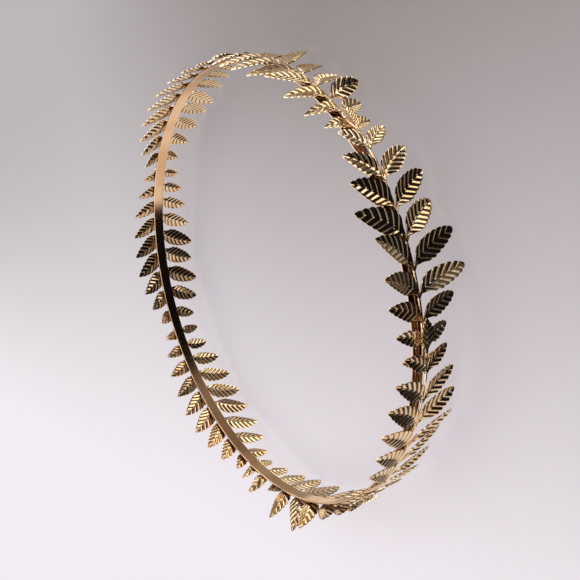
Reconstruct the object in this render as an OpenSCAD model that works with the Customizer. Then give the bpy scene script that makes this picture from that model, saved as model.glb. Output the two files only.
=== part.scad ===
// Laurel wreath crown: a flat band hoop with seven stamped laurel sprays laid round it, end to end.
// Millimetres. The origin is the middle of the head opening, halfway across the band, and +Z is
// the crown's axis. The crown lies on the tips of its downward leaves.

/* [Band] */
// Inside radius of the band, where the head goes
band_r = 88; // [70:1:105]
// Width of the band's strip, along the crown's axis
band_w = 4.5; // [3.5:0.1:7]
// Thickness of the band's strip
band_t = 0.8; // [0.6:0.1:1.4]
// Direction in which the strip's two ends meet, in degrees
seam_at = 66; // [0:1:359]
// Width of the line between the strip's ends
seam_w = 0.3; // [0.2:0.05:0.6]
// Depth of the line between the strip's ends
seam_depth = 0.25; // [0.1:0.05:0.4]
// Radius of the solder bead on each edge of the seam
solder_r = 0.45; // [0.3:0.05:0.6]

/* [Stems] */
// Direction in which the first spray starts, in degrees
first_at = 322; // [0:1:359]
// Radius of a stem at its thick end
stem_r = 0.65; // [0.5:0.05:1]
// Radius of a stem where its end leaf begins
stem_tip_r = 0.5; // [0.4:0.05:0.9]
// How far the stems lie below the middle of the band
stem_drop = 1.3; // [0:0.1:1.5]
// Length of stem behind the first pair of leaves
tail_l = 1.5; // [1:0.1:3]
// Clearance between the band and a stem laid on it
seat_gap = 0.1; // [0.05:0.05:0.3]
// Clearance between a stem's end and the next stem that it passes over
lap_gap = 0.25; // [0.15:0.05:0.6]
// Length over which a stem rises onto the next one
rise_l = 28; // [20:1:36]

/* [Leaves] */
// Length of the longest leaf, with its stalk
leaf_l = 19.3; // [14:0.1:22]
// Width of the widest leaf
leaf_w = 7.5; // [5:0.1:8.5]
// Thickness of the leaves' sheet
leaf_t = 0.5; // [0.4:0.05:0.8]
// How far the edges of the widest leaf stand out from its midrib
fold_h = 0.7; // [0.3:0.05:1.2]
// Width of a leaf's stalk
stalk_w = 1.2; // [0.9:0.1:1.8]
// Length of the leaf at the end of a stem
end_leaf_l = 11.5; // [8:0.1:14]
// Width of the leaf at the end of a stem
end_leaf_w = 5; // [4:0.1:6.5]

/* [Hidden] */
band_colour = "#b98f5e";
spray_colour = "#d9a95f";
UP = 1;
DOWN = -1;

// Pairs of leaves on a spray. A place is a share of the turn from one spray to the next,
// a length is a share of the longest leaf's, a width of the widest leaf's,
// and the splay is the leaf's angle from the stem in degrees.
PLACE = 0;
LENGTH = 1;
WIDTH = 2;
SPLAY = 3;
PAIRS = [
    [-0.027, 0.49, 0.56, 75],
    [ 0.058, 0.64, 0.69, 69],
    [ 0.149, 0.78, 0.80, 64],
    [ 0.248, 0.90, 0.89, 59],
    [ 0.354, 0.97, 0.97, 56],
    [ 0.467, 1.00, 1.00, 54],
    [ 0.587, 0.95, 0.97, 52],
    [ 0.715, 0.82, 0.88, 51],
    [ 0.851, 0.60, 0.68, 51],
];
END_PLACE = 0.936;

// Sprays, in degrees: the turn from even spacing, and how far the leaves of each side are bent
// by hand. Splay is added to a leaf's angle from the stem and flare lifts its tip off the band,
// each from the first pair to the last one.
TURN = 0;
UP_SPLAY = 1;
UP_FLARE = 3;
DOWN_SPLAY = 5;
DOWN_FLARE = 7;
SPRAYS = [
    [ 0.2, -10,   4,   5, -17,  -2,  10,   0,  -7],
    [ 1.4,  -1,  -7,  -3,   5,   9,   2,  -6,  -4],
    [ 2.9,   9, -11,  24,   4,  20,  -2,  18, -10],
    [ 2.5,  -5,   2,   3,  -3,   7,  -6,   3,   1],
    [-2.4,  -4,   1,  -2,   4,  -2,   4,   4,   4],
    [-2.8, -11,   0, -14, -10,  -1,   7,  -5,  -6],
    [-0.4,  -1,   5,   0, -12,   9,   3,  -6,   7],
];

// Single leaves that are bent further, with the added splay and flare in degrees
BENT_SPRAY = 0;
BENT_PAIR = 1;
BENT_SIDE = 2;
BENT_SPLAY = 3;
BENT_FLARE = 4;
BENT = [
    [0, 5, DOWN,   0,  11],
    [1, 1, DOWN,   0,  10],
    [1, 5, DOWN,   7,  11],
    [2, 2, UP,   -23, -36],
    [2, 4, UP,    -9,  11],
    [2, 6, UP,    -9,  -6],
    [2, 7, UP,    -8,  -4],
    [2, 3, DOWN,   8,   0],
    [2, 5, DOWN, -10,  -2],
    [3, 2, DOWN, -12,   0],
    [3, 3, DOWN,   4,  -7],
    [3, 4, DOWN,  -7,  -6],
    [4, 3, UP,     2,   8],
    [4, 4, UP,    -6,   4],
    [4, 5, UP,    -2,  -9],
    [4, 1, DOWN,   2, -10],
    [4, 3, DOWN,   0,  22],
    [4, 4, DOWN,   0,   9],
    [4, 5, DOWN,   0,  -9],
    [5, 1, UP,     0,  -7],
    [5, 3, UP,     0,  10],
    [5, 2, DOWN,   8,  15],
    [5, 3, DOWN,   3,   0],
    [5, 5, DOWN,  -2,   9],
    [6, 4, DOWN,  -3,  -6],
];

// Outline of a leaf's blade: places along the leaf, and its width there as a share of the full one.
// The stalk comes before it, up to its own place, and has its own width.
STALK_END = 0.18;
ALONG = 0;
SHARE = 1;
BLADE = [[0.32, 0.56], [0.50, 1], [0.71, 0.86], [0.89, 0.46], [1, 0.05]];
// A stalk leaves the stem at an angle narrower than its leaf's by this many degrees, and bends
// out over this share of the leaf
UP_HOOK = 38;
DOWN_HOOK = 24;
hook_share = 0.38;
// A bent leaf curves away from the place where it is clear of the band's edge, with this power,
// and from this place at the latest
bend_power = 1.5;
latest_bend = 0.7;
// Room beside the band's edge before a leaf may bend inwards
edge_room = 1.5;
// Knots that a stem is hulled over, and the sides of each
stem_knots = 11;
knot_sides = 4;
band_sides = 180;
bead_sides = 24;

spray_count = len(SPRAYS);
last_pair = len(PAIRS) - 1;
spray_turn = 360 / spray_count;
stem_path_r = band_r + band_t + seat_gap + stem_r;
lap_h = stem_r + stem_tip_r + lap_gap;
function mm_to_turn(mm) = mm / stem_path_r * 180 / PI;
function between(a, b, share) = a + (b - a) * share;
function smooth(x) = let (c = min(max(x, 0), 1)) c * c * (3 - 2 * c);

// Where a spray starts, and how far each place on it lies round the crown
function start_at(spray) = first_at + spray * spray_turn + SPRAYS[spray][TURN];
function turn_to_next(spray) =
    let (next = (spray + 1) % spray_count)
    spray_turn + SPRAYS[next][TURN] - SPRAYS[spray][TURN];
function tail_at() = PAIRS[0][PLACE] * spray_turn - mm_to_turn(tail_l);

// Height of a stem above its seat: it rises onto the next spray's tail
function stem_lift(spray, turn) =
    let (risen = turn_to_next(spray) + tail_at() - mm_to_turn(stem_r))
    lap_h * smooth(1 - (risen - turn) / mm_to_turn(rise_l));

// Bends of one leaf, from its spray's row and from the single bent leaves
function column(side, up, down) = side == UP ? up : down;
function row_bend(spray, pair, first) =
    between(SPRAYS[spray][first], SPRAYS[spray][first + 1], pair / last_pair);
function single_bend(spray, pair, side, value) =
    let (found = [
        for (b = BENT)
            if (b[BENT_SPRAY] == spray && b[BENT_PAIR] == pair && b[BENT_SIDE] == side)
                b[value]])
    len(found) > 0 ? found[0] : 0;
function leaf_splay(spray, pair, side) =
    PAIRS[pair][SPLAY] + row_bend(spray, pair, column(side, UP_SPLAY, DOWN_SPLAY))
    + single_bend(spray, pair, side, BENT_SPLAY);
function leaf_flare(spray, pair, side) =
    row_bend(spray, pair, column(side, UP_FLARE, DOWN_FLARE))
    + single_bend(spray, pair, side, BENT_FLARE);

// One leaf stands at the origin: X is outwards from the band, Y along the stem, and the leaf
// grows to +Y and +Z. Each section has six corners: the midrib and both edges, under and upper.
function rib_point(len, splay, hook, t) =
    let (a = hook_share * len * [cos(splay - hook), sin(splay - hook)],
         b = len * [cos(splay), sin(splay)])
    2 * t * (1 - t) * a + t * t * b;
function rib_way(len, splay, hook, t) =
    let (a = hook_share * len * [cos(splay - hook), sin(splay - hook)],
         b = len * [cos(splay), sin(splay)],
         way = 2 * (1 - 2 * t) * a + 2 * t * b)
    way / norm(way);
function leaf_section(len, splay, flare, hook, bend_from, t, half, fold) =
    let (rib = rib_point(len * cos(flare), splay, hook, t),
         way = rib_way(len, splay, hook, t),
         across = half * [-way.y, way.x],
         out = len * sin(flare) * pow(max(t - bend_from, 0) / (1 - bend_from), bend_power),
         low = out - leaf_t / 2,
         high = out + leaf_t / 2)
    [
        [low, rib.x, rib.y],
        [low + fold, rib.x + across.x, rib.y + across.y],
        [high + fold, rib.x + across.x, rib.y + across.y],
        [high, rib.x, rib.y],
        [high + fold, rib.x - across.x, rib.y - across.y],
        [low + fold, rib.x - across.x, rib.y - across.y],
    ];
function leaf_points(len, wid, splay, flare, hook, bend_from) =
    let (blade_fold = fold_h * wid / leaf_w)
    concat(
        leaf_section(len, splay, flare, hook, bend_from, 0, stalk_w / 2, 0),
        leaf_section(len, splay, flare, hook, bend_from, STALK_END, stalk_w / 2, 0),
        [for (b = BLADE)
            each leaf_section(len, splay, flare, hook, bend_from, b[ALONG], b[SHARE] * wid / 2,
                b[SHARE] * blade_fold)]);

CORNERS = 6;
leaf_sections = len(BLADE) + 2;
leaf_end = (leaf_sections - 1) * CORNERS;
// The skin's triangles between two sections. A blade's folded corner is cut along its midrib.
leaf_faces = concat(
    [for (s = [0 : leaf_sections - 2]) for (c = [0 : CORNERS - 1])
        let (a = s * CORNERS + c, b = s * CORNERS + (c + 1) % CORNERS)
        each [[a, b + CORNERS, b], [a, a + CORNERS, b + CORNERS]]],
    [[0, 2, 3], [0, 1, 2], [0, 4, 5], [0, 3, 4]],
    [for (f = [[0, 3, 2], [0, 2, 1], [0, 5, 4], [0, 4, 3]]) leaf_end * [1, 1, 1] + f]);

function pair_leaf_points(spray, pair, side) =
    let (len = leaf_l * PAIRS[pair][LENGTH],
         splay = leaf_splay(spray, pair, side),
         clear = band_w / 2 + side * stem_drop + edge_room,
         bend_from = min(max(STALK_END, clear / (len * sin(splay))), latest_bend))
    leaf_points(len, leaf_w * PAIRS[pair][WIDTH], splay, leaf_flare(spray, pair, side),
        column(side, UP_HOOK, DOWN_HOOK), bend_from);

// Puts its children on a spray's stem, X outwards and Y along the stem
module on_stem(spray, turn) {
    rotate([0, 0, start_at(spray) + turn])
        translate([stem_path_r + stem_lift(spray, turn), 0, -stem_drop])
            children();
}

module stem(spray) {
    from = tail_at();
    to = END_PLACE * spray_turn;
    for (i = [0 : stem_knots - 2])
        hull()
            for (share = [i, i + 1] / (stem_knots - 1))
                on_stem(spray, between(from, to, share))
                    sphere(between(stem_r, stem_tip_r, share), $fn = knot_sides);
}

module spray(number) {
    spray = number - 1;
    color(spray_colour) {
        stem(spray);
        for (pair = [0 : last_pair])
            on_stem(spray, PAIRS[pair][PLACE] * spray_turn) {
                polyhedron(pair_leaf_points(spray, pair, UP), leaf_faces);
                mirror([0, 0, 1])
                    polyhedron(pair_leaf_points(spray, pair, DOWN), leaf_faces);
            }
        on_stem(spray, END_PLACE * spray_turn)
            polyhedron(leaf_points(end_leaf_l, end_leaf_w, 0, 0, 0, 0), leaf_faces);
    }
}

module band() {
    color(band_colour) {
        difference() {
            rotate_extrude($fn = band_sides)
                translate([band_r, -band_w / 2])
                    square([band_t, band_w]);
            rotate([0, 0, seam_at])
                translate([band_r + seam_depth - band_t, -seam_w / 2, -band_w])
                    cube([band_t, seam_w, 2 * band_w]);
        }
        for (side = [UP, DOWN])
            rotate([0, 0, seam_at])
                translate([band_r + max(band_t / 2, solder_r), 0, side * band_w / 2])
                    sphere(solder_r, $fn = bead_sides);
    }
}

band();
spray(1);  // spray_1
spray(2);  // spray_2
spray(3);  // spray_3
spray(4);  // spray_4
spray(5);  // spray_5
spray(6);  // spray_6
spray(7);  // spray_7
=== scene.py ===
"""Looks of the laurel wreath crown: its band, its seven stamped sprays and their stage."""

import math
from collections import namedtuple

import bmesh
import bpy
from bpy.props import FloatProperty, FloatVectorProperty, IntProperty, PointerProperty
from mathutils import Matrix, Vector


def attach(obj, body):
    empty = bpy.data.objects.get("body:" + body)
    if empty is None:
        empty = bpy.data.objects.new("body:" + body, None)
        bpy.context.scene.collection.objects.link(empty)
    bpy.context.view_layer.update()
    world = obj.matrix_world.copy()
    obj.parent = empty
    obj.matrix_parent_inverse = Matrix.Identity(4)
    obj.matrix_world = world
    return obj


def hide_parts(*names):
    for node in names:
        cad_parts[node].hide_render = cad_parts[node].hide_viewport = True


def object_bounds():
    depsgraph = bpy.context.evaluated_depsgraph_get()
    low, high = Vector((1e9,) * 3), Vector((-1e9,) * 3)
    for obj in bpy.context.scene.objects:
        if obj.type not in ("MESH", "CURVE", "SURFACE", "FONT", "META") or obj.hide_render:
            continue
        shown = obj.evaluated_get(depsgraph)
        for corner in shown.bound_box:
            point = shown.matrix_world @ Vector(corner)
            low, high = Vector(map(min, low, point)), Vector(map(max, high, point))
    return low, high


bl_info = {
    "name": "Laurel wreath crown",
    "version": (1, 0, 0),
    "blender": (4, 5, 0),
    "location": "View3D > Sidebar > Crown",
    "description": "Builds the crown's band, its laurel sprays and the stage they lie on",
    "category": "Add Mesh",
}

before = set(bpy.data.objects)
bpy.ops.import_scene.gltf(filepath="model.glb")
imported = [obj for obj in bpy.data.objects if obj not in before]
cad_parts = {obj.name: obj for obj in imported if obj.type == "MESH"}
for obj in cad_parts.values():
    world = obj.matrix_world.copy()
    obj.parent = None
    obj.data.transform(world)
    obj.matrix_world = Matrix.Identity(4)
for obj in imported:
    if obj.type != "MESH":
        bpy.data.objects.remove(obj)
cad_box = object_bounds()

MM = 0.001
UP = 1
DOWN = -1

# The sprays' layout is the one that the solids have.
# Places are shares of the turn from one spray to the next, lengths and widths are shares of the
# largest leaf's, splay is the angle from the stem, and flutes are counted along half a leaf.
Pair = namedtuple("Pair", "place length width splay flutes")
PAIRS = [
    Pair(-0.027, 0.49, 0.56, 75, 5),
    Pair(0.058, 0.64, 0.69, 69, 5),
    Pair(0.149, 0.78, 0.80, 64, 6),
    Pair(0.248, 0.90, 0.89, 59, 7),
    Pair(0.354, 0.97, 0.97, 56, 7),
    Pair(0.467, 1.00, 1.00, 54, 7),
    Pair(0.587, 0.95, 0.97, 52, 7),
    Pair(0.715, 0.82, 0.88, 51, 6),
    Pair(0.851, 0.60, 0.68, 51, 5),
]
END_PLACE = 0.936
END_FLUTES = 5

# How the leaves of each spray are bent by hand, in degrees, from its first pair to its last.
Spray = namedtuple("Spray", "turn up_splay up_flare down_splay down_flare")
SPRAYS = [
    Spray(0.2, (-10, 4), (5, -17), (-2, 10), (0, -7)),
    Spray(1.4, (-1, -7), (-3, 5), (9, 2), (-6, -4)),
    Spray(2.9, (9, -11), (24, 4), (20, -2), (18, -10)),
    Spray(2.5, (-5, 2), (3, -3), (7, -6), (3, 1)),
    Spray(-2.4, (-4, 1), (-2, 4), (-2, 4), (4, 4)),
    Spray(-2.8, (-11, 0), (-14, -10), (-1, 7), (-5, -6)),
    Spray(-0.4, (-1, 5), (0, -12), (9, 3), (-6, 7)),
]
Bend = namedtuple("Bend", "spray pair side splay flare")
Twist = namedtuple("Twist", "spray pair side roll")
BENT = [
    Bend(0, 5, DOWN, 0, 11),
    Bend(1, 1, DOWN, 0, 10),
    Bend(1, 5, DOWN, 7, 11),
    Bend(2, 2, UP, -23, -36),
    Bend(2, 4, UP, -9, 11),
    Bend(2, 6, UP, -9, -6),
    Bend(2, 7, UP, -8, -4),
    Bend(2, 3, DOWN, 8, 0),
    Bend(2, 5, DOWN, -10, -2),
    Bend(3, 2, DOWN, -12, 0),
    Bend(3, 3, DOWN, 4, -7),
    Bend(3, 4, DOWN, -7, -6),
    Bend(4, 3, UP, 2, 8),
    Bend(4, 4, UP, -6, 4),
    Bend(4, 5, UP, -2, -9),
    Bend(4, 1, DOWN, 2, -10),
    Bend(4, 3, DOWN, 0, 22),
    Bend(4, 4, DOWN, 0, 9),
    Bend(4, 5, DOWN, 0, -9),
    Bend(5, 1, UP, 0, -7),
    Bend(5, 3, UP, 0, 10),
    Bend(5, 2, DOWN, 8, 15),
    Bend(5, 3, DOWN, 3, 0),
    Bend(5, 5, DOWN, -2, 9),
    Bend(6, 4, DOWN, -3, -6),
]

# Leaves turned about their own midrib, in degrees
TWISTED = [
    Twist(0, 0, UP, 4),
    Twist(0, 6, UP, 4),
    Twist(0, 8, UP, 12),
    Twist(0, 1, DOWN, -4),
    Twist(0, 2, DOWN, -9),
    Twist(0, 3, DOWN, -13),
    Twist(0, 4, DOWN, 2),
    Twist(0, 5, DOWN, -5),
    Twist(0, 6, DOWN, -8),
    Twist(0, 7, DOWN, 11),
    Twist(1, 0, UP, 14),
    Twist(1, 1, UP, 12),
    Twist(1, 2, UP, 8),
    Twist(1, 6, UP, 4),
    Twist(1, 6, DOWN, 9),
    Twist(1, 7, DOWN, 6),
    Twist(1, 8, DOWN, -6),
    Twist(2, 1, UP, -6),
    Twist(2, 3, UP, 8),
    Twist(2, 0, DOWN, -6),
    Twist(2, 1, DOWN, -6),
    Twist(2, 2, DOWN, -4),
    Twist(2, 3, DOWN, -6),
    Twist(2, 4, DOWN, -6),
    Twist(2, 5, DOWN, 12),
    Twist(2, 8, DOWN, -8),
    Twist(3, 3, UP, 12),
    Twist(3, 4, UP, 10),
    Twist(3, 5, UP, -2),
    Twist(3, 6, UP, 10),
    Twist(3, 7, UP, 6),
    Twist(3, 8, UP, 6),
    Twist(3, 3, DOWN, 4),
    Twist(3, 4, DOWN, -5),
    Twist(3, 5, DOWN, -9),
    Twist(3, 6, DOWN, 11),
    Twist(4, 4, UP, 8),
    Twist(4, 5, UP, -15),
    Twist(4, 6, UP, -13),
    Twist(4, 7, UP, -4),
    Twist(4, 3, DOWN, 12),
    Twist(4, 5, DOWN, 3),
    Twist(4, 6, DOWN, -10),
    Twist(4, 8, DOWN, 10),
    Twist(5, 1, UP, 2),
    Twist(5, 5, UP, 2),
    Twist(5, 0, DOWN, -10),
    Twist(5, 1, DOWN, -12),
    Twist(5, 2, DOWN, -28),
    Twist(5, 3, DOWN, 12),
    Twist(5, 4, DOWN, 13),
    Twist(5, 5, DOWN, 16),
]

# Outline of a blade: places along the leaf and shares of its width there
OUTLINES = {
    UP: [
        (0.18, 0.17), (0.31, 0.66), (0.47, 1.0), (0.68, 0.92),
        (0.85, 0.60), (0.95, 0.25), (1.0, 0.04),
    ],
    DOWN: [
        (0.18, 0.17), (0.31, 0.66), (0.47, 1.0), (0.68, 0.95),
        (0.84, 0.72), (0.94, 0.40), (1.0, 0.06),
    ],
}
# Place along a leaf where its stalk ends and its blade begins
STALK_END = 0.18
STALK_ROWS = 4
# Degrees by which a leaf leaves its stem at less than its splay, and how far along it that tells
HOOK = {UP: 38, DOWN: 24}
HOOK_SHARE = 0.38
# How fast a leaf's flare grows towards the tip, and the last place where it may begin
BEND_POWER = 1.5
LATEST_BEND = 0.7
# Share of a leaf over which its turn about the midrib comes in
ROLL_SHARE = 0.3
# Rows of faces across one flute, close together at the veins
FLUTE_ROWS = (0, 0.05, 0.10, 0.18, 0.34, 0.5, 0.66, 0.82, 0.90, 0.95)
# A flute's section is a round ridge that falls steeply at its veins
RIDGE_POWER = 2
VEIN_POWER = 12
# Place along a leaf where its last vein leaves the midrib
LAST_VEIN = 0.985
VEIN_HALVINGS = 24
# How much closer together the columns of faces lie towards a leaf's edge
COLUMN_POWER = 1.25
# Largest share of a half leaf that the midrib takes where the leaf is narrow
RIB_SHARE = 0.45
# Half-widths of a leaf from which its flutes and its midrib have their full height
FULL_FLUTE = 1.6 * MM
FULL_RIB = 1 * MM
# Outer share of a half leaf that rolls back
ROLLED_SHARE = 0.2
# How far from a vein towards a ridge the scalloped edge crosses the plain outline
SCALLOP_CROSSING = 0.4

# A stem's depth as a share of its height, and its groove's half-width as a share of its radius
STEM_DEPTH = 0.8
GROOVE_HALF = 0.5
STEM_SIDES = 14
STEM_STEPS = 60
# Length over which a stem's tail rounds off, and the square of the share that is left at its end
TAIL_ROUNDING = 0.9 * MM
TAIL_LEFT = 0.04

BAND_STEPS = 360
EDGE_SEGMENTS = 4
# Distance of the support cuts from the strip's sides, as a multiple of its edges' rounding
CUT_DISTANCE = 1.3
# How far each end of the strip comes forward at the foot of the seam, as a share of half its width
SEAM_FOOT = 0.6
# Form of a solder bead, and how far through the strip's thickness its middle lies
BEAD_FORM = (0.75, 1.2, 1.0)
BEAD_PLACE = 0.45

SPRAY_TURN = 360 / len(SPRAYS)
LAST_PAIR = len(PAIRS) - 1


def linear(hex_colour):
    """sRGB hex colour as the linear values that Blender's sockets take."""
    channels = [int(hex_colour[i : i + 2], 16) / 255 for i in (1, 3, 5)]
    return tuple(c / 12.92 if c <= 0.04045 else ((c + 0.055) / 1.055) ** 2.4 for c in channels)


def length_prop(name, description, millimetres):
    """A size in metres, given in millimetres."""
    return FloatProperty(
        name=name, description=description, default=millimetres * MM, unit="LENGTH", precision=5
    )


def angle_prop(name, description, degrees):
    """An angle in radians, given in degrees."""
    return FloatProperty(
        name=name, description=description, default=math.radians(degrees), subtype="ANGLE"
    )


def colour_prop(name, description, hex_colour):
    """A colour, given as sRGB hex."""
    return FloatVectorProperty(
        name=name, description=description, default=linear(hex_colour), subtype="COLOR",
        min=0, max=1,
    )


class BandSizes(bpy.types.PropertyGroup):
    inner_radius: length_prop("Inner radius", "Inside radius of the band", 88)
    width: length_prop("Width", "Width of the strip along the crown's axis", 4.5)
    thickness: length_prop("Thickness", "Thickness of the strip", 0.8)
    edge_round: length_prop("Edge rounding", "Rounding of the strip's four edges", 0.18)
    seam_at: angle_prop("Seam", "Direction in which the strip's ends meet", 66)
    seam_width: length_prop("Seam width", "Width of the line between the ends", 0.3)
    seam_depth: length_prop("Seam depth", "Depth of the line between the ends", 0.25)
    seam_jog: length_prop("Seam jog", "How far one end lies off the other along the axis", 0.5)
    jog_length: length_prop("Jog length", "Length over which the jog fades out", 5)
    solder_radius: length_prop("Solder radius", "Size of the solder bead on each edge", 0.55)


class SpraySizes(bpy.types.PropertyGroup):
    first_at: angle_prop("First spray", "Direction in which the first spray starts", 322)
    stem_radius: length_prop("Stem radius", "Radius of a stem at its thick end", 0.62)
    stem_tip_radius: length_prop("Stem tip radius", "Radius of a stem at its end leaf", 0.48)
    stem_drop: length_prop("Stem drop", "How far stems lie below the band's middle", 1.3)
    tail_length: length_prop("Tail", "Length of stem behind the first pair", 1.5)
    seat_gap: length_prop("Seat gap", "Clearance between band and stem", 0.1)
    lap_height: length_prop("Lap height", "Rise of a stem where it passes over the next", 1.4)
    rise_length: length_prop("Rise length", "Length over which a stem rises", 28)
    groove_share: FloatProperty(
        name="Stem groove", description="Depth of the stem's groove as a share of its radius",
        default=0.45, min=0, max=0.8,
    )


class LeafSizes(bpy.types.PropertyGroup):
    length: length_prop("Length", "Length of the longest leaf with its stalk", 19.3)
    width: length_prop("Width", "Width of the widest leaf", 7.5)
    thickness: length_prop("Thickness", "Thickness of the sheet", 0.34)
    fold: length_prop("Fold", "How far the widest leaf's edges stand out", 0.7)
    stalk_width: length_prop("Stalk width", "Width of a stalk", 1.0)
    end_length: length_prop("End leaf length", "Length of the leaf at a stem's end", 11.5)
    end_width: length_prop("End leaf width", "Width of the leaf at a stem's end", 5)
    edge_room: length_prop("Edge room", "Room beside the band before a leaf bends", 1.5)
    flute_depth: length_prop("Flute depth", "Height of the ridges between the veins", 0.26)
    vein_angle: angle_prop("Vein angle", "Angle between a vein and the midrib", 50)
    scallop: length_prop("Scallop", "How far a flute's end bulges over the edge", 0.4)
    flute_start: length_prop(
        "Flute start", "Distance from the midrib to a ridge's full height", 0.45
    )
    edge_roll: length_prop("Edge roll", "How far the edge rolls back", 0.07)
    rib_width: length_prop("Rib width", "Half-width of the midrib", 0.22)
    rib_height: length_prop("Rib height", "Height of the midrib", 0.26)
    half_columns: IntProperty(
        name="Columns per half", description="Columns of faces on each half", default=8, min=4
    )


class Finishes(bpy.types.PropertyGroup):
    gold: colour_prop("Gold", "Polished colour of the sprays", "#f9e8cb")
    deep_gold: colour_prop("Deep gold", "Deeper tone of the sprays' plating", "#efd0a8")
    # Painted shade: the veins of the leaves are painted dark brown
    vein_shade: colour_prop("Vein shade", "Shade painted into the veins", "#4a3020")
    band_gold: colour_prop("Band gold", "Polished colour of the band", "#f4d8b8")
    band_deep: colour_prop("Band deep gold", "Deeper tone of the band", "#e6bf9a")
    solder: colour_prop("Solder", "Colour of the solder beads", "#f3e6c8")
    # Painted shade on the band's outer face, behind the sprays
    outer_face_shade: colour_prop(
        "Outer face shade", "Shade painted on the band's outer face", "#4e2a22"
    )
    # The floor's tones are painted light: paler before the crown, darker behind it, most to the
    # right
    floor_left: colour_prop("Floor, left", "Floor's tone behind the crown to the left", "#b3aeb1")
    floor_right: colour_prop(
        "Floor, right", "Floor's tone behind the crown to the right", "#847b79"
    )
    floor_near: colour_prop("Floor, near", "Floor's tone before the crown", "#e7e2ea")
    # Painted light: the floor glows by itself, which keeps it pale and its shadows faint
    floor_glow: FloatProperty(
        name="Floor glow", description="Share of the floor's tone that it glows with",
        default=0.6, min=0, max=1,
    )
    roughness: FloatProperty(
        name="Roughness", description="Roughness of the polished metal", default=0.09, min=0, max=1
    )


def between(ends, share):
    return ends[0] + (ends[1] - ends[0]) * share


def smooth(x):
    c = min(max(x, 0), 1)
    return c * c * (3 - 2 * c)


def outline_share(outline, t):
    """Half-width of a blade at t, as a share of its largest, on a smooth curve through outline."""
    if t <= outline[0][0]:
        return outline[0][1]
    if t >= outline[-1][0]:
        return outline[-1][1]
    i = max(k for k in range(len(outline) - 1) if outline[k][0] <= t)
    (t0, w0), (t1, w1) = outline[i], outline[i + 1]
    before = outline[max(i - 1, 0)]
    after = outline[min(i + 2, len(outline) - 1)]
    m0 = (w1 - before[1]) / (t1 - before[0])
    m1 = (after[1] - w0) / (after[0] - t0)
    h = (t - t0) / (t1 - t0)
    step = t1 - t0
    return (
        (2 * h**3 - 3 * h**2 + 1) * w0
        + (h**3 - 2 * h**2 + h) * step * m0
        + (3 * h**2 - 2 * h**3) * w1
        + (h**3 - h**2) * step * m1
    )


class SprayLayout:
    """Where the stem and the leaves of one spray lie, as in the solids."""

    def __init__(self, scene, spray):
        self.spray = spray
        self.row = SPRAYS[spray]
        self.band = scene.crown_band
        self.size = scene.crown_spray
        self.leaf = scene.crown_leaf
        size = self.size
        self.path_radius = (
            self.band.inner_radius + self.band.thickness + size.seat_gap + size.stem_radius
        )
        self.start = math.degrees(size.first_at) + spray * SPRAY_TURN + self.row.turn
        following = SPRAYS[(spray + 1) % len(SPRAYS)]
        self.to_next = SPRAY_TURN + following.turn - self.row.turn
        self.tail_at = PAIRS[0].place * SPRAY_TURN - self.turn_of(size.tail_length)
        self.end_at = END_PLACE * SPRAY_TURN

    def turn_of(self, length):
        return math.degrees(length / self.path_radius)

    def lift(self, turn):
        risen = self.to_next + self.tail_at - self.turn_of(self.size.stem_radius)
        return self.size.lap_height * smooth(
            1 - (risen - turn) / self.turn_of(self.size.rise_length)
        )

    def place(self, turn, out, along, up):
        """A point of the spray, from its place outwards, along the stem and up at a turn."""
        angle = math.radians(self.start + turn)
        reach = self.path_radius + self.lift(turn) + out
        return Vector((
            reach * math.cos(angle) - along * math.sin(angle),
            reach * math.sin(angle) + along * math.cos(angle),
            up - self.size.stem_drop,
        ))

    def bends(self, pair, side):
        """Splay and flare of one leaf, in radians."""
        share = pair / LAST_PAIR
        splay = PAIRS[pair].splay
        if side == UP:
            splay += between(self.row.up_splay, share)
            flare = between(self.row.up_flare, share)
        else:
            splay += between(self.row.down_splay, share)
            flare = between(self.row.down_flare, share)
        for bend in BENT:
            if (bend.spray, bend.pair, bend.side) == (self.spray, pair, side):
                splay += bend.splay
                flare += bend.flare
        return math.radians(splay), math.radians(flare)

    def roll(self, pair, side):
        """How far one leaf is turned about its midrib, in radians."""
        rows = [
            row for row in TWISTED if (row.spray, row.pair, row.side) == (self.spray, pair, side)
        ]
        return math.radians(sum(row.roll for row in rows))


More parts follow.
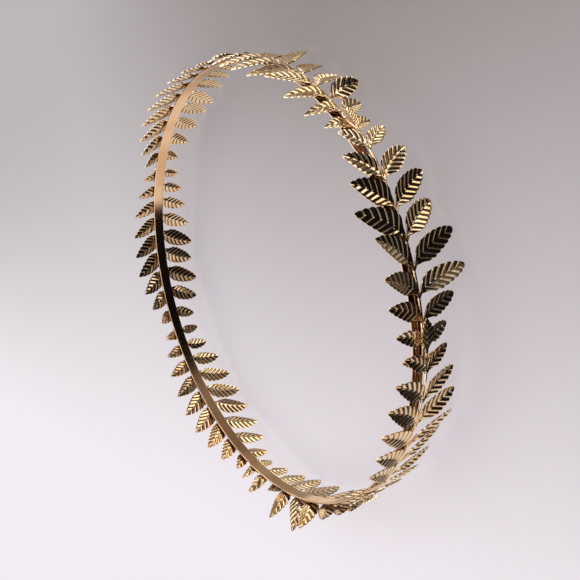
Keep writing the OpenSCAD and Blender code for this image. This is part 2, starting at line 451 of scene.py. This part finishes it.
class LeafShape:
    """Shape of one leaf: its midrib's curve, its outline and its stamped relief."""

    def __init__(self, leaf, side, length, width, flutes, splay, flare, hook, bend_from, roll=0):
        self.leaf = leaf
        self.outline = OUTLINES[side]
        self.length = length
        self.width = width
        self.flutes = flutes
        self.rise = length * math.sin(flare)
        self.bend_from = bend_from
        self.roll = math.tan(roll)
        flat = length * math.cos(flare)
        turn = splay - hook
        self.knee = Vector((math.cos(turn), math.sin(turn))) * HOOK_SHARE * flat
        self.tip = Vector((math.cos(splay), math.sin(splay))) * flat
        self.forward = 1 / math.tan(leaf.vein_angle) / length

    def rib(self, t):
        """Point of the midrib at t, and the way it runs there."""
        point = 2 * t * (1 - t) * self.knee + t * t * self.tip
        way = 2 * (1 - 2 * t) * self.knee + 2 * t * self.tip
        return point, way.normalized()

    def half_width(self, t):
        return self.width / 2 * outline_share(self.outline, t)

    def vein_reach(self, root):
        """How far from the midrib the vein that leaves it at root meets the outline."""
        low, high = 0.0, self.width
        for _ in range(VEIN_HALVINGS):
            middle = (low + high) / 2
            if self.half_width(root + middle * self.forward) > middle:
                low = middle
            else:
                high = middle
        return low

    def rows(self):
        """Rows of the leaf: where each leaves the midrib, its flute's phase, and its reach."""
        leaf = self.leaf
        rows = []
        for i in range(STALK_ROWS):
            rows.append((STALK_END * i / STALK_ROWS, None, leaf.stalk_width / 2))
        phases = [flute + phase for flute in range(self.flutes) for phase in FLUTE_ROWS]
        for phase in phases + [self.flutes]:
            root = STALK_END + (LAST_VEIN - STALK_END) * phase / self.flutes
            rows.append((root, phase, self.vein_reach(root)))
        return rows

    def point(self, row, column):
        """Out, along, up, and how deep in a vein the point lies."""
        leaf = self.leaf
        root, phase, reach = row
        side = 1 if column > 0 else -1
        step = abs(column)
        rib_half = min(leaf.rib_width, RIB_SHARE * reach)
        share = max(step - 1, 0) / (leaf.half_columns - 1)
        spread = 1 - (1 - share) ** COLUMN_POWER
        across = rib_half * min(step, 1) + (reach - rib_half) * spread
        groove = 0.0
        if phase is None:
            t = root
            height = leaf.rib_height * (1 - (across / reach) ** 2)
        else:
            off = abs(2 * (phase % 1) - 1)
            bulge = 1 - 0.5 * off**RIDGE_POWER - 0.5 * off**VEIN_POWER
            t = root + across * self.forward
            strength = min(1, reach / FULL_FLUTE) * min(1, 2 * phase)
            ramp = min(1, across / leaf.flute_start)
            height = leaf.flute_depth * strength * ramp * (bulge - 0.5)
            rolled_back = max(0, (share - (1 - ROLLED_SHARE)) / ROLLED_SHARE)
            height -= leaf.edge_roll * rolled_back**2
            if step == 0:
                height = leaf.rib_height * (1 - 0.5 * bulge) * min(1, reach / FULL_RIB)
            groove = (1 - bulge) * min(1, step) * strength
            if step == leaf.half_columns:
                across += leaf.scallop * (SCALLOP_CROSSING - off**2) * strength
        t = min(t, 1.0)
        height += 2 * leaf.fold * across / leaf.width
        bend = max(t - self.bend_from, 0) / (1 - self.bend_from)
        rolled = side * across * self.roll * min(1, max(0, t - STALK_END) / ROLL_SHARE)
        out = height + self.rise * bend**BEND_POWER + rolled
        rib, way = self.rib(t)
        spot = rib + side * across * Vector((-way.y, way.x))
        return out, spot.x, spot.y, groove


def faces_round(verts):
    """Faces that meet some vertices, each once and always in the same order."""
    return list(dict.fromkeys(face for vert in verts for face in vert.link_faces))


def face_outwards(bm, verts):
    """Turns the faces of one closed shell outwards."""
    faces = faces_round(verts)
    bmesh.ops.recalc_face_normals(bm, faces=faces)
    # The operator can take a thin bent leaf's inside for its outside, so its volume decides
    origin = faces[0].calc_center_median()
    volume = 0
    for face in faces:
        face.normal_update()
        volume += (face.calc_center_median() - origin).dot(face.normal) * face.calc_area()
    if volume < 0:
        bmesh.ops.reverse_faces(bm, faces=faces)


def add_leaf(bm, layer, layout, turn, side, shape):
    """One leaf: a flat slab with its rows of faces along the veins, then shaped point by point."""
    leaf = shape.leaf
    rows = shape.rows()
    columns = 2 * leaf.half_columns
    before = set(bm.verts)
    grid = bmesh.ops.create_grid(bm, x_segments=columns, y_segments=len(rows) - 1, size=1)
    bmesh.ops.solidify(bm, geom=faces_round(grid["verts"]), thickness=1)
    slab = [vert for vert in bm.verts if vert not in before]
    for vert in slab:
        column = round((vert.co.x + 1) / 2 * columns) - leaf.half_columns
        row = rows[round((vert.co.y + 1) / 2 * (len(rows) - 1))]
        out, along, up, groove = shape.point(row, column)
        face_out = leaf.thickness if abs(vert.co.z) < 0.5 else 0
        vert.co = layout.place(turn, out + face_out, along, side * up)
        vert[layer] = groove
    face_outwards(bm, slab)


def add_stem(bm, layout):
    """A stem as a grooved wire, spun round the crown and lifted over the next spray."""
    size = layout.size
    ring = bmesh.ops.create_circle(bm, segments=STEM_SIDES, radius=1)["verts"]
    for vert in ring:
        outwards, upwards = vert.co.x, vert.co.y
        dip = size.groove_share * max(0, 1 - abs(upwards) / GROOVE_HALF) if outwards > 0 else 0
        vert.co = Vector((
            layout.path_radius + size.stem_radius * (STEM_DEPTH * outwards - dip),
            0,
            size.stem_radius * upwards - size.stem_drop,
        ))
    bmesh.ops.rotate(
        bm, verts=ring, cent=(0, 0, 0),
        matrix=Matrix.Rotation(math.radians(layout.start + layout.tail_at), 3, "Z"),
    )
    edges = list(dict.fromkeys(edge for vert in ring for edge in vert.link_edges))
    sweep = layout.end_at - layout.tail_at
    before = set(bm.verts) - set(ring)
    bmesh.ops.spin(
        bm, geom=ring + edges, cent=(0, 0, 0), axis=(0, 0, 1), angle=math.radians(sweep),
        steps=STEM_STEPS, use_merge=False, use_duplicate=False,
    )
    tube = [vert for vert in bm.verts if vert not in before]
    centre_z = -size.stem_drop
    for vert in tube:
        turn = math.degrees(math.atan2(vert.co.y, vert.co.x)) - layout.start
        turn = (turn - layout.tail_at + 180) % 360 - 180 + layout.tail_at
        share = (turn - layout.tail_at) / sweep
        reach = math.hypot(vert.co.x, vert.co.y)
        taper = 1 + (size.stem_tip_radius / size.stem_radius - 1) * share
        rounding = share * sweep / layout.turn_of(TAIL_ROUNDING)
        taper *= math.sqrt(min(1, max(TAIL_LEFT, rounding)))
        out = (reach - layout.path_radius) * taper + layout.lift(turn)
        scale = (layout.path_radius + out) / reach
        vert.co.x *= scale
        vert.co.y *= scale
        vert.co.z = centre_z + (vert.co.z - centre_z) * taper
    rims = [edge for vert in tube for edge in vert.link_edges if edge.is_boundary]
    bmesh.ops.holes_fill(bm, edges=list(dict.fromkeys(rims)), sides=0)
    face_outwards(bm, tube)


def finish_mesh(bm, name, material, crease=35):
    """Turns a bmesh into an object at the origin, smooth but for edges sharper than crease."""
    for face in bm.faces:
        face.smooth = True
    limit = math.radians(crease)
    for edge in bm.edges:
        edge.smooth = len(edge.link_faces) != 2 or edge.calc_face_angle(0) < limit
    mesh = bpy.data.meshes.new(name)
    bm.to_mesh(mesh)
    bm.free()
    mesh.materials.append(material)
    piece = bpy.data.objects.new(name, mesh)
    bpy.context.scene.collection.objects.link(piece)
    return piece


def add_node(tree, kind, inputs=None, **settings):
    """Adds a node with its settings, and fills its inputs with values or with other outputs."""
    node = tree.nodes.new(kind)
    for name, value in settings.items():
        setattr(node, name, value)
    for key, value in (inputs or {}).items():
        socket = node.inputs[key]
        if isinstance(value, bpy.types.NodeSocket):
            tree.links.new(value, socket)
        else:
            socket.default_value = value
    return node


def new_material(name):
    material = bpy.data.materials.new(name)
    material.use_nodes = True
    tree = material.node_tree
    tree.nodes.clear()
    return material, tree


def opaque(colour):
    return (*colour, 1.0)


def grain_scale(millimetres):
    """Scale of a pattern whose grains or waves are so many millimetres long."""
    return 1 / (millimetres * MM)


# Sockets of a Mix node that mixes colours
MIX_SHARE = 0
MIX_FIRST = 6
MIX_SECOND = 7
MIX_COLOUR = 2
# Noise between which a patchy tone, and the polish's haze, go from none to full
PATCHES = (0.35, 0.65)
HAZE = (0.3, 0.7)
# Depth in a vein between which its painted shade goes from none to full
VEIN_SHADED = (0.25, 0.4)
# How far through the strip, from its inner face, its painted shade goes from none to full
OUTER_SHADED = (0.3, 0.8)


def tone_over(tree, colour, tone, value, span, most=1):
    """Lays a tone over a colour, from none to its most as value goes through the span."""
    share = add_node(
        tree, "ShaderNodeMapRange",
        {"Value": value, "From Min": span[0], "From Max": span[1], "To Max": most},
        interpolation_type="SMOOTHSTEP",
    )
    mix = add_node(
        tree, "ShaderNodeMix",
        {MIX_SHARE: share.outputs["Result"], MIX_FIRST: colour, MIX_SECOND: opaque(tone)},
        data_type="RGBA",
    )
    return mix.outputs[MIX_COLOUR]


def stamped_brass(finishes):
    """Stamped brass, gold plated and polished: bright ridges, with shade painted dark brown into
    the veins.
    """
    material, tree = new_material("stamped_gold_plated_brass")
    place = add_node(tree, "ShaderNodeTexCoord").outputs["Object"]
    # The plating's tone drifts over about 6 mm
    drift = add_node(
        tree, "ShaderNodeTexNoise", {"Vector": place, "Scale": grain_scale(6.25), "Detail": 2}
    )
    plating = tone_over(
        tree, opaque(finishes.gold), finishes.deep_gold, drift.outputs["Fac"], PATCHES
    )
    vein = add_node(tree, "ShaderNodeAttribute", attribute_name="vein_depth").outputs["Fac"]
    # Painted shade: the veins are painted dark brown towards their bottom
    colour = tone_over(tree, plating, finishes.vein_shade, vein, VEIN_SHADED, most=0.8)
    # The painted shade in the veins also makes the metal there less metallic
    metallic = add_node(
        tree, "ShaderNodeMapRange",
        {
            "Value": vein, "From Min": VEIN_SHADED[0], "From Max": VEIN_SHADED[1],
            "To Min": 1.0, "To Max": 0.8,
        },
        interpolation_type="SMOOTHSTEP",
    )
    # Polishing haze over about 1.2 mm
    haze = add_node(
        tree, "ShaderNodeTexNoise", {"Vector": place, "Scale": grain_scale(1.25), "Detail": 3}
    )
    roughness = add_node(
        tree, "ShaderNodeMapRange",
        {
            "Value": haze.outputs["Fac"], "From Min": HAZE[0], "From Max": HAZE[1],
            "To Min": finishes.roughness, "To Max": finishes.roughness + 0.1,
        },
        interpolation_type="SMOOTHSTEP",
    )
    # Fine unevenness of the stamped sheet, about 0.7 mm across and a few micrometres high
    dents = add_node(
        tree, "ShaderNodeTexNoise", {"Vector": place, "Scale": grain_scale(0.7143), "Detail": 2}
    )
    bump = add_node(
        tree, "ShaderNodeBump",
        {"Height": dents.outputs["Fac"], "Strength": 0.25, "Distance": 0.04 * MM},
    )
    shader = add_node(tree, "ShaderNodeBsdfPrincipled", {
        "Base Color": colour, "Metallic": metallic.outputs["Result"],
        "Roughness": roughness.outputs["Result"], "Normal": bump.outputs["Normal"],
    })
    add_node(tree, "ShaderNodeOutputMaterial", {"Surface": shader.outputs["BSDF"]})
    return material


def rolled_brass(finishes):
    """Rolled brass strip, gold plated and polished: a mirror with faint waves along it."""
    material, tree = new_material("rolled_gold_plated_brass")
    place = add_node(tree, "ShaderNodeTexCoord").outputs["Object"]
    # The plating's tone drifts over about 17 mm
    drift = add_node(
        tree, "ShaderNodeTexNoise", {"Vector": place, "Scale": grain_scale(16.667), "Detail": 2}
    )
    colour = tone_over(
        tree, opaque(finishes.band_gold), finishes.band_deep, drift.outputs["Fac"], PATCHES
    )
    # Painted shade: the outer face, behind the stems and leaves, is painted dark brown
    outside = add_node(tree, "ShaderNodeAttribute", attribute_name="outside").outputs["Fac"]
    colour = tone_over(tree, colour, finishes.outer_face_shade, outside, OUTER_SHADED, most=0.8)
    # Polishing lines run along the strip, 0.15 mm apart across it
    along, across = grain_scale(16.667), grain_scale(0.15152)
    lines = add_node(
        tree, "ShaderNodeMapping", {"Vector": place, "Scale": (along, along, across)}
    )
    brushed = add_node(
        tree, "ShaderNodeTexNoise", {"Vector": lines.outputs["Vector"], "Scale": 1, "Detail": 2}
    )
    roughness = add_node(
        tree, "ShaderNodeMapRange",
        {
            "Value": brushed.outputs["Fac"], "From Min": HAZE[0], "From Max": HAZE[1],
            "To Min": finishes.roughness, "To Max": finishes.roughness + 0.08,
        },
        interpolation_type="SMOOTHSTEP",
    )
    # Hand bending leaves shallow waves about 8 mm long
    waves = add_node(
        tree, "ShaderNodeTexNoise", {"Vector": place, "Scale": grain_scale(8.3333), "Detail": 1}
    )
    bump = add_node(
        tree, "ShaderNodeBump",
        {"Height": waves.outputs["Fac"], "Strength": 0.3, "Distance": 0.1 * MM},
    )
    shader = add_node(tree, "ShaderNodeBsdfPrincipled", {
        "Base Color": colour, "Metallic": 1.0, "Roughness": roughness.outputs["Result"],
        "Normal": bump.outputs["Normal"],
    })
    add_node(tree, "ShaderNodeOutputMaterial", {"Surface": shader.outputs["BSDF"]})
    return material


def silver_solder(finishes):
    """Silver solder under thin plating: paler and a little duller than the brass round it."""
    material, tree = new_material("silver_solder")
    place = add_node(tree, "ShaderNodeTexCoord").outputs["Object"]
    # Grains of the cooled solder, about 0.3 mm across
    grain = add_node(
        tree, "ShaderNodeTexNoise", {"Vector": place, "Scale": grain_scale(0.33333), "Detail": 2}
    )
    roughness = add_node(
        tree, "ShaderNodeMapRange",
        {
            "Value": grain.outputs["Fac"], "From Min": HAZE[0], "From Max": HAZE[1],
            "To Min": 0.18, "To Max": 0.32,
        },
        interpolation_type="SMOOTHSTEP",
    )
    shader = add_node(tree, "ShaderNodeBsdfPrincipled", {
        "Base Color": opaque(finishes.solder), "Metallic": 1.0,
        "Roughness": roughness.outputs["Result"],
    })
    add_node(tree, "ShaderNodeOutputMaterial", {"Surface": shader.outputs["BSDF"]})
    return material


class CROWN_OT_band(bpy.types.Operator):
    """Builds the band: a polished strip bent into a hoop, with its seam and solder beads"""

    bl_idname = "crown.band"
    bl_label = "Band"

    def execute(self, context):
        band = context.scene.crown_band
        finishes = context.scene.crown_finishes
        bm = bmesh.new()
        middle = band.inner_radius + band.thickness / 2
        self.strip_section(bm, band)
        bmesh.ops.translate(bm, verts=bm.verts, vec=(middle, 0, 0))
        half_gap = band.seam_width / 2 / band.inner_radius
        bmesh.ops.rotate(
            bm, verts=bm.verts, cent=(0, 0, 0),
            matrix=Matrix.Rotation(band.seam_at + half_gap, 3, "Z"),
        )
        first = list(bm.edges)
        spun = bmesh.ops.spin(
            bm, geom=list(bm.verts) + first, cent=(0, 0, 0), axis=(0, 0, 1),
            angle=2 * math.pi - 2 * half_gap, steps=BAND_STEPS, use_merge=False,
            use_duplicate=False,
        )
        last = [item for item in spun["geom_last"] if isinstance(item, bmesh.types.BMEdge)]
        self.close_seam(bm, band, middle, half_gap, first, last)
        outside = bm.verts.layers.float.new("outside")
        for vert in bm.verts:
            reach = math.hypot(vert.co.x, vert.co.y)
            vert[outside] = (reach - band.inner_radius) / band.thickness
        bmesh.ops.recalc_face_normals(bm, faces=bm.faces)
        strip_faces = len(bm.faces)
        self.add_beads(bm, band)
        bm.faces.ensure_lookup_table()
        for face in bm.faces[strip_faces:]:
            face.material_index = 1
        piece = finish_mesh(bm, "band_strip", rolled_brass(finishes))
        piece.data.materials.append(silver_solder(finishes))
        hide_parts("band")
        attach(piece, "root")
        return {"FINISHED"}

    @staticmethod
    def strip_section(bm, band):
        """The strip's section with its rounded edges, as a loop of edges that stands upright."""
        section = bmesh.ops.create_grid(bm, x_segments=1, y_segments=1, size=0.5)["verts"]
        bmesh.ops.scale(bm, verts=section, vec=(band.thickness, band.width, 1))
        bmesh.ops.bevel(
            bm, geom=section, offset=band.edge_round, offset_type="OFFSET", affect="VERTICES",
            segments=EDGE_SEGMENTS, profile=0.5, material=-1,
        )
        # Cuts beside the rounded edges keep the strip's broad faces flat in the shading
        for axis, half in (
            (Vector((1, 0, 0)), band.thickness / 2), (Vector((0, 1, 0)), band.width / 2)
        ):
            for way in (1, -1):
                bmesh.ops.bisect_plane(
                    bm, geom=bm.verts[:] + bm.edges[:] + bm.faces[:], plane_no=axis,
                    plane_co=axis * way * (half - CUT_DISTANCE * band.edge_round),
                )
        bmesh.ops.delete(bm, geom=list(bm.faces), context="FACES_KEEP_BOUNDARY")
        bmesh.ops.rotate(
            bm, verts=bm.verts, cent=(0, 0, 0), matrix=Matrix.Rotation(math.pi / 2, 3, "X")
        )

    @staticmethod
    def close_seam(bm, band, middle, half_gap, first, last):
        """Joins the strip's ends by a narrower foot, and sets one end a little off the other."""
        foot = []
        for loop, way in ((first, -1), (last, 1)):
            lip = bmesh.ops.extrude_edge_only(bm, edges=loop)["geom"]
            verts = [item for item in lip if isinstance(item, bmesh.types.BMVert)]
            for vert in verts:
                reach = math.hypot(vert.co.x, vert.co.y)
                pull = 1 - 2 * band.seam_depth / band.thickness
                scale = (middle + (reach - middle) * pull) / reach
                vert.co.x *= scale
                vert.co.y *= scale
                vert.co.z *= 1 - 2 * band.seam_depth / band.width
            bmesh.ops.rotate(
                bm, verts=verts, cent=(0, 0, 0),
                matrix=Matrix.Rotation(way * SEAM_FOOT * half_gap, 3, "Z"),
            )
            foot += [item for item in lip if isinstance(item, bmesh.types.BMEdge)]
        bmesh.ops.bridge_loops(bm, edges=foot)
        for vert in bm.verts:
            angle = math.atan2(vert.co.y, vert.co.x) - band.seam_at
            angle = (angle + math.pi) % (2 * math.pi) - math.pi
            away = abs(angle) * band.inner_radius / band.jog_length
            vert.co.z += math.copysign(0.5, angle) * band.seam_jog * math.exp(-away * away)

    @staticmethod
    def add_beads(bm, band):
        """A solder bead on each edge of the strip, across the seam."""
        seam_way = Vector((math.cos(band.seam_at), math.sin(band.seam_at), 0))
        for side in (UP, DOWN):
            bead = bmesh.ops.create_icosphere(bm, subdivisions=3, radius=band.solder_radius)
            bmesh.ops.scale(bm, verts=bead["verts"], vec=BEAD_FORM)
            spot = seam_way * (band.inner_radius + BEAD_PLACE * band.thickness)
            spot.z = side * band.width / 2
            bmesh.ops.translate(bm, verts=bead["verts"], vec=spot)


class CROWN_OT_sprays(bpy.types.Operator):
    """Builds the seven laurel sprays: each a grooved stem with stamped leaves"""

    bl_idname = "crown.sprays"
    bl_label = "Laurel sprays"

    def execute(self, context):
        scene = context.scene
        material = stamped_brass(scene.crown_finishes)
        for spray in range(len(SPRAYS)):
            bm = bmesh.new()
            layer = bm.verts.layers.float.new("vein_depth")
            layout = SprayLayout(scene, spray)
            add_stem(bm, layout)
            for pair in range(len(PAIRS)):
                for side in (UP, DOWN):
                    add_leaf(
                        bm, layer, layout, PAIRS[pair].place * SPRAY_TURN, side,
                        self.pair_leaf(layout, pair, side),
                    )
            leaf = layout.leaf
            end = LeafShape(leaf, UP, leaf.end_length, leaf.end_width, END_FLUTES, 0, 0, 0, 0)
            add_leaf(bm, layer, layout, layout.end_at, UP, end)
            piece = finish_mesh(bm, f"laurel_spray_{spray + 1}", material)
            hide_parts(f"spray_{spray + 1}")
            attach(piece, "root")
        return {"FINISHED"}

    @staticmethod
    def pair_leaf(layout, pair, side):
        leaf = layout.leaf
        row = PAIRS[pair]
        length = leaf.length * row.length
        splay, flare = layout.bends(pair, side)
        clear = layout.band.width / 2 + side * layout.size.stem_drop + leaf.edge_room
        bend_from = min(max(STALK_END, clear / (length * math.sin(splay))), LATEST_BEND)
        return LeafShape(
            leaf, side, length, leaf.width * row.width, row.flutes, splay, flare,
            math.radians(HOOK[side]), bend_from, layout.roll(pair, side),
        )


# The camera stands where the photograph was taken from
CAMERA_AT = Vector((-0.26069, -0.03650, 0.15528))
CAMERA_RIGHT = Vector((-0.5549, 0.1920, -0.8094))
CAMERA_UP = Vector((0, -0.9729, -0.2308))
CAMERA_AHEAD = Vector((0.8319, 0.1281, -0.5399))
FOCAL_PIXELS = 760
IMAGE_PIXELS = 580

# Light of what shines on the crown, brighter than white
WINDOW = (1.9, 1.7, 1.4)
LAMP = (3.0, 2.5, 1.8)
SOFT_LAMP = (2.0, 1.8, 1.5)
DIM_LAMP = (1.7, 1.5, 1.2)

# What stands round the crown, as the camera sees its direction, with the angles from its middle
# at which it covers all and has faded. Later rows lie over earlier ones.
Glow = namedtuple("Glow", "name right up ahead inner outer colour")
GLOWS = [
    Glow("softbox overhead", -0.81, -0.23, -0.54, 46, 62, (1.75, 1.70, 1.66)),
    Glow("pale ceiling", 0.26, 0.95, -0.06, 24, 32, (0.21, 0.17, 0.14)),
    Glow("pale wall", -0.06, 0.76, 0.64, 20, 28, (0.34, 0.28, 0.22)),
    Glow("unlit side", 0.85, 0.0, -0.52, 41, 47, (0.006, 0.005, 0.006)),
    Glow("unlit corner", 0.90, -0.30, 0.30, 20, 28, (0.03, 0.024, 0.022)),
    Glow("window, top", 0.55, 0.82, -0.08, 4, 9, WINDOW),
    Glow("window, middle", 0.72, 0.67, -0.19, 6, 11, WINDOW),
    Glow("window, foot", 0.80, 0.53, -0.26, 5, 9, (1.5, 1.3, 1.1)),
    Glow("lamp", 0.03, 0.95, -0.31, 6, 10, LAMP),
    Glow("second lamp", 0.18, 0.88, -0.44, 6, 10, LAMP),
    Glow("ceiling lamp", 0.08, 0.98, -0.16, 6, 10, SOFT_LAMP),
    Glow("left lamp", -0.54, 0.82, 0.20, 6, 10, SOFT_LAMP),
    Glow("left window, foot", -0.36, 0.53, 0.76, 6, 11, WINDOW),
    Glow("left window, middle", -0.35, 0.71, 0.61, 6, 11, WINDOW),
    Glow("left window, top", -0.30, 0.88, 0.36, 6, 11, WINDOW),
    Glow("right window, foot", 0.38, 0.61, 0.70, 6, 11, WINDOW),
    Glow("right window, middle", 0.34, 0.74, 0.58, 6, 10, WINDOW),
    Glow("right window, top", 0.19, 0.83, 0.52, 4, 7, WINDOW),
    Glow("side lamp", -0.70, 0.70, -0.12, 6, 11, DIM_LAMP),
    Glow("overhead lamp", -0.19, 0.96, -0.22, 5, 10, DIM_LAMP),
    Glow("far wall", -0.12, 0.22, 0.96, 6, 14, (0.85, 0.75, 0.66)),
]
# What lies under those: the foot of a pale sweep, and over it each tone with its direction and
# the cosines of the angle from there between which it comes in
Tone = namedtuple("Tone", "name way span colour")
SWEEP_FOOT = (0.82, 0.70, 0.60)
SWEEP = [
    Tone("sweep, middle", CAMERA_UP, (-0.6, -0.2), (0.40, 0.33, 0.28)),
    Tone("sweep, top", CAMERA_UP, (0.3, 0.6), (0.13, 0.10, 0.08)),
    Tone(
        "behind the camera", 0.5 * CAMERA_UP - 0.87 * CAMERA_AHEAD, (-0.15, 0.35),
        (0.09, 0.07, 0.06),
    ),
]
# Metres along X and along Y over which the floor's painted light changes
FLOOR_LEFTWARDS = (-0.10, 0.22)
FLOOR_FORWARDS = (-0.15, 0.16)
# The floor reaches so many metres each way
FLOOR_REACH = 3


def seen(right, up, ahead):
    """Direction that lies right, up and ahead as the camera sees it."""
    return (CAMERA_RIGHT * right + CAMERA_UP * up + CAMERA_AHEAD * ahead).normalized()


class CROWN_OT_stage(bpy.types.Operator):
    """Sets up the pale floor, the soft surroundings and the camera"""

    bl_idname = "crown.stage"
    bl_label = "Stage"

    def execute(self, context):
        scene = context.scene
        finishes = scene.crown_finishes
        self.floor(scene, finishes)
        self.surroundings(scene)
        self.camera(scene)
        scene.view_settings.view_transform = "Standard"
        return {"FINISHED"}

    def floor(self, scene, finishes):
        bm = bmesh.new()
        bmesh.ops.create_grid(bm, x_segments=1, y_segments=1, size=FLOOR_REACH)
        bmesh.ops.translate(bm, verts=bm.verts, vec=(0, 0, cad_box[0][2]))
        # Matt paper scatters light evenly; it also glows by itself, painted light that keeps it
        # pale and its shadows faint
        material, tree = new_material("matt_paper")
        place = add_node(tree, "ShaderNodeTexCoord").outputs["Object"]
        spot = add_node(tree, "ShaderNodeSeparateXYZ", {"Vector": place})
        # Painted light: the paper is paler before the crown and darker behind it, most to the
        # right
        far = tone_over(
            tree, opaque(finishes.floor_right), finishes.floor_left, spot.outputs["X"],
            FLOOR_LEFTWARDS,
        )
        colour = tone_over(tree, far, finishes.floor_near, spot.outputs["Y"], FLOOR_FORWARDS)
        # Paper fibres, about 1 mm long
        fibres = add_node(
            tree, "ShaderNodeTexNoise",
            {"Vector": place, "Scale": grain_scale(1.1111), "Detail": 3},
        )
        bump = add_node(
            tree, "ShaderNodeBump",
            {"Height": fibres.outputs["Fac"], "Strength": 0.1, "Distance": 0.1 * MM},
        )
        # What the paper glows with, as painted light, is taken off what it throws back
        lit = add_node(
            tree, "ShaderNodeMix",
            {
                MIX_SHARE: finishes.floor_glow, MIX_FIRST: colour,
                MIX_SECOND: opaque(linear("#000000")),
            },
            data_type="RGBA",
        )
        shader = add_node(tree, "ShaderNodeBsdfPrincipled", {
            "Base Color": lit.outputs[MIX_COLOUR], "Roughness": 0.95, "Specular IOR Level": 0.1,
            "Normal": bump.outputs["Normal"],
            "Emission Color": colour, "Emission Strength": finishes.floor_glow,
        })
        add_node(tree, "ShaderNodeOutputMaterial", {"Surface": shader.outputs["BSDF"]})
        floor = finish_mesh(bm, "floor", material)
        floor.visible_glossy = False

    def surroundings(self, scene):
        """What the polished metal reflects: a pale sweep, a dark place behind, and the glows."""
        world = bpy.data.worlds.new("studio")
        scene.world = world
        world.use_nodes = True
        tree = world.node_tree
        tree.nodes.clear()
        way = add_node(tree, "ShaderNodeTexCoord").outputs["Generated"]
        tones = list(SWEEP)
        for glow in GLOWS:
            span = [math.cos(math.radians(angle)) for angle in (glow.outer, glow.inner)]
            middle = seen(glow.right, glow.up, glow.ahead)
            tones.append(Tone(glow.name, middle, span, glow.colour))
        colour = opaque(SWEEP_FOOT)
        for tone in tones:
            towards = add_node(
                tree, "ShaderNodeVectorMath", {0: way, 1: tone.way}, operation="DOT_PRODUCT",
                label=tone.name,
            )
            colour = tone_over(tree, colour, tone.colour, towards.outputs["Value"], tone.span)
        shade = add_node(tree, "ShaderNodeBackground", {"Color": colour, "Strength": 1.0})
        add_node(tree, "ShaderNodeOutputWorld", {"Surface": shade.outputs["Background"]})

    def camera(self, scene):
        data = bpy.data.cameras.new("view")
        data.sensor_width = 36
        data.lens = data.sensor_width * FOCAL_PIXELS / IMAGE_PIXELS
        data.clip_start = 0.01
        camera = bpy.data.objects.new("view", data)
        turn = Matrix((CAMERA_RIGHT, CAMERA_UP, -CAMERA_AHEAD)).transposed()
        camera.matrix_world = Matrix.Translation(CAMERA_AT) @ turn.to_4x4()
        scene.collection.objects.link(camera)
        scene.camera = camera


class CROWN_PT_panel(bpy.types.Panel):
    """Lists the crown's pieces, sizes and finishes"""

    bl_idname = "CROWN_PT_panel"
    bl_label = "Laurel wreath crown"
    bl_space_type = "VIEW_3D"
    bl_region_type = "UI"
    bl_category = "Crown"

    def draw(self, context):
        layout = self.layout
        for operator in OPERATORS:
            layout.operator(operator.bl_idname)
        for group in GROUPS:
            box = layout.box()
            settings = getattr(context.scene, group)
            for name in settings.bl_rna.properties.keys():
                if name not in ("rna_type", "name"):
                    box.prop(settings, name)


OPERATORS = (CROWN_OT_band, CROWN_OT_sprays, CROWN_OT_stage)
GROUPS = {
    "crown_band": BandSizes,
    "crown_spray": SpraySizes,
    "crown_leaf": LeafSizes,
    "crown_finishes": Finishes,
}
CLASSES = (*GROUPS.values(), *OPERATORS, CROWN_PT_panel)


def register():
    for cls in CLASSES:
        bpy.utils.register_class(cls)
    for name, group in GROUPS.items():
        setattr(bpy.types.Scene, name, PointerProperty(type=group))


def unregister():
    for name in GROUPS:
        delattr(bpy.types.Scene, name)
    for cls in reversed(CLASSES):
        bpy.utils.unregister_class(cls)


def main():
    register()
    bpy.ops.crown.band()
    bpy.ops.crown.sprays()
    bpy.ops.crown.stage()


if __name__ == "__main__":
    main()
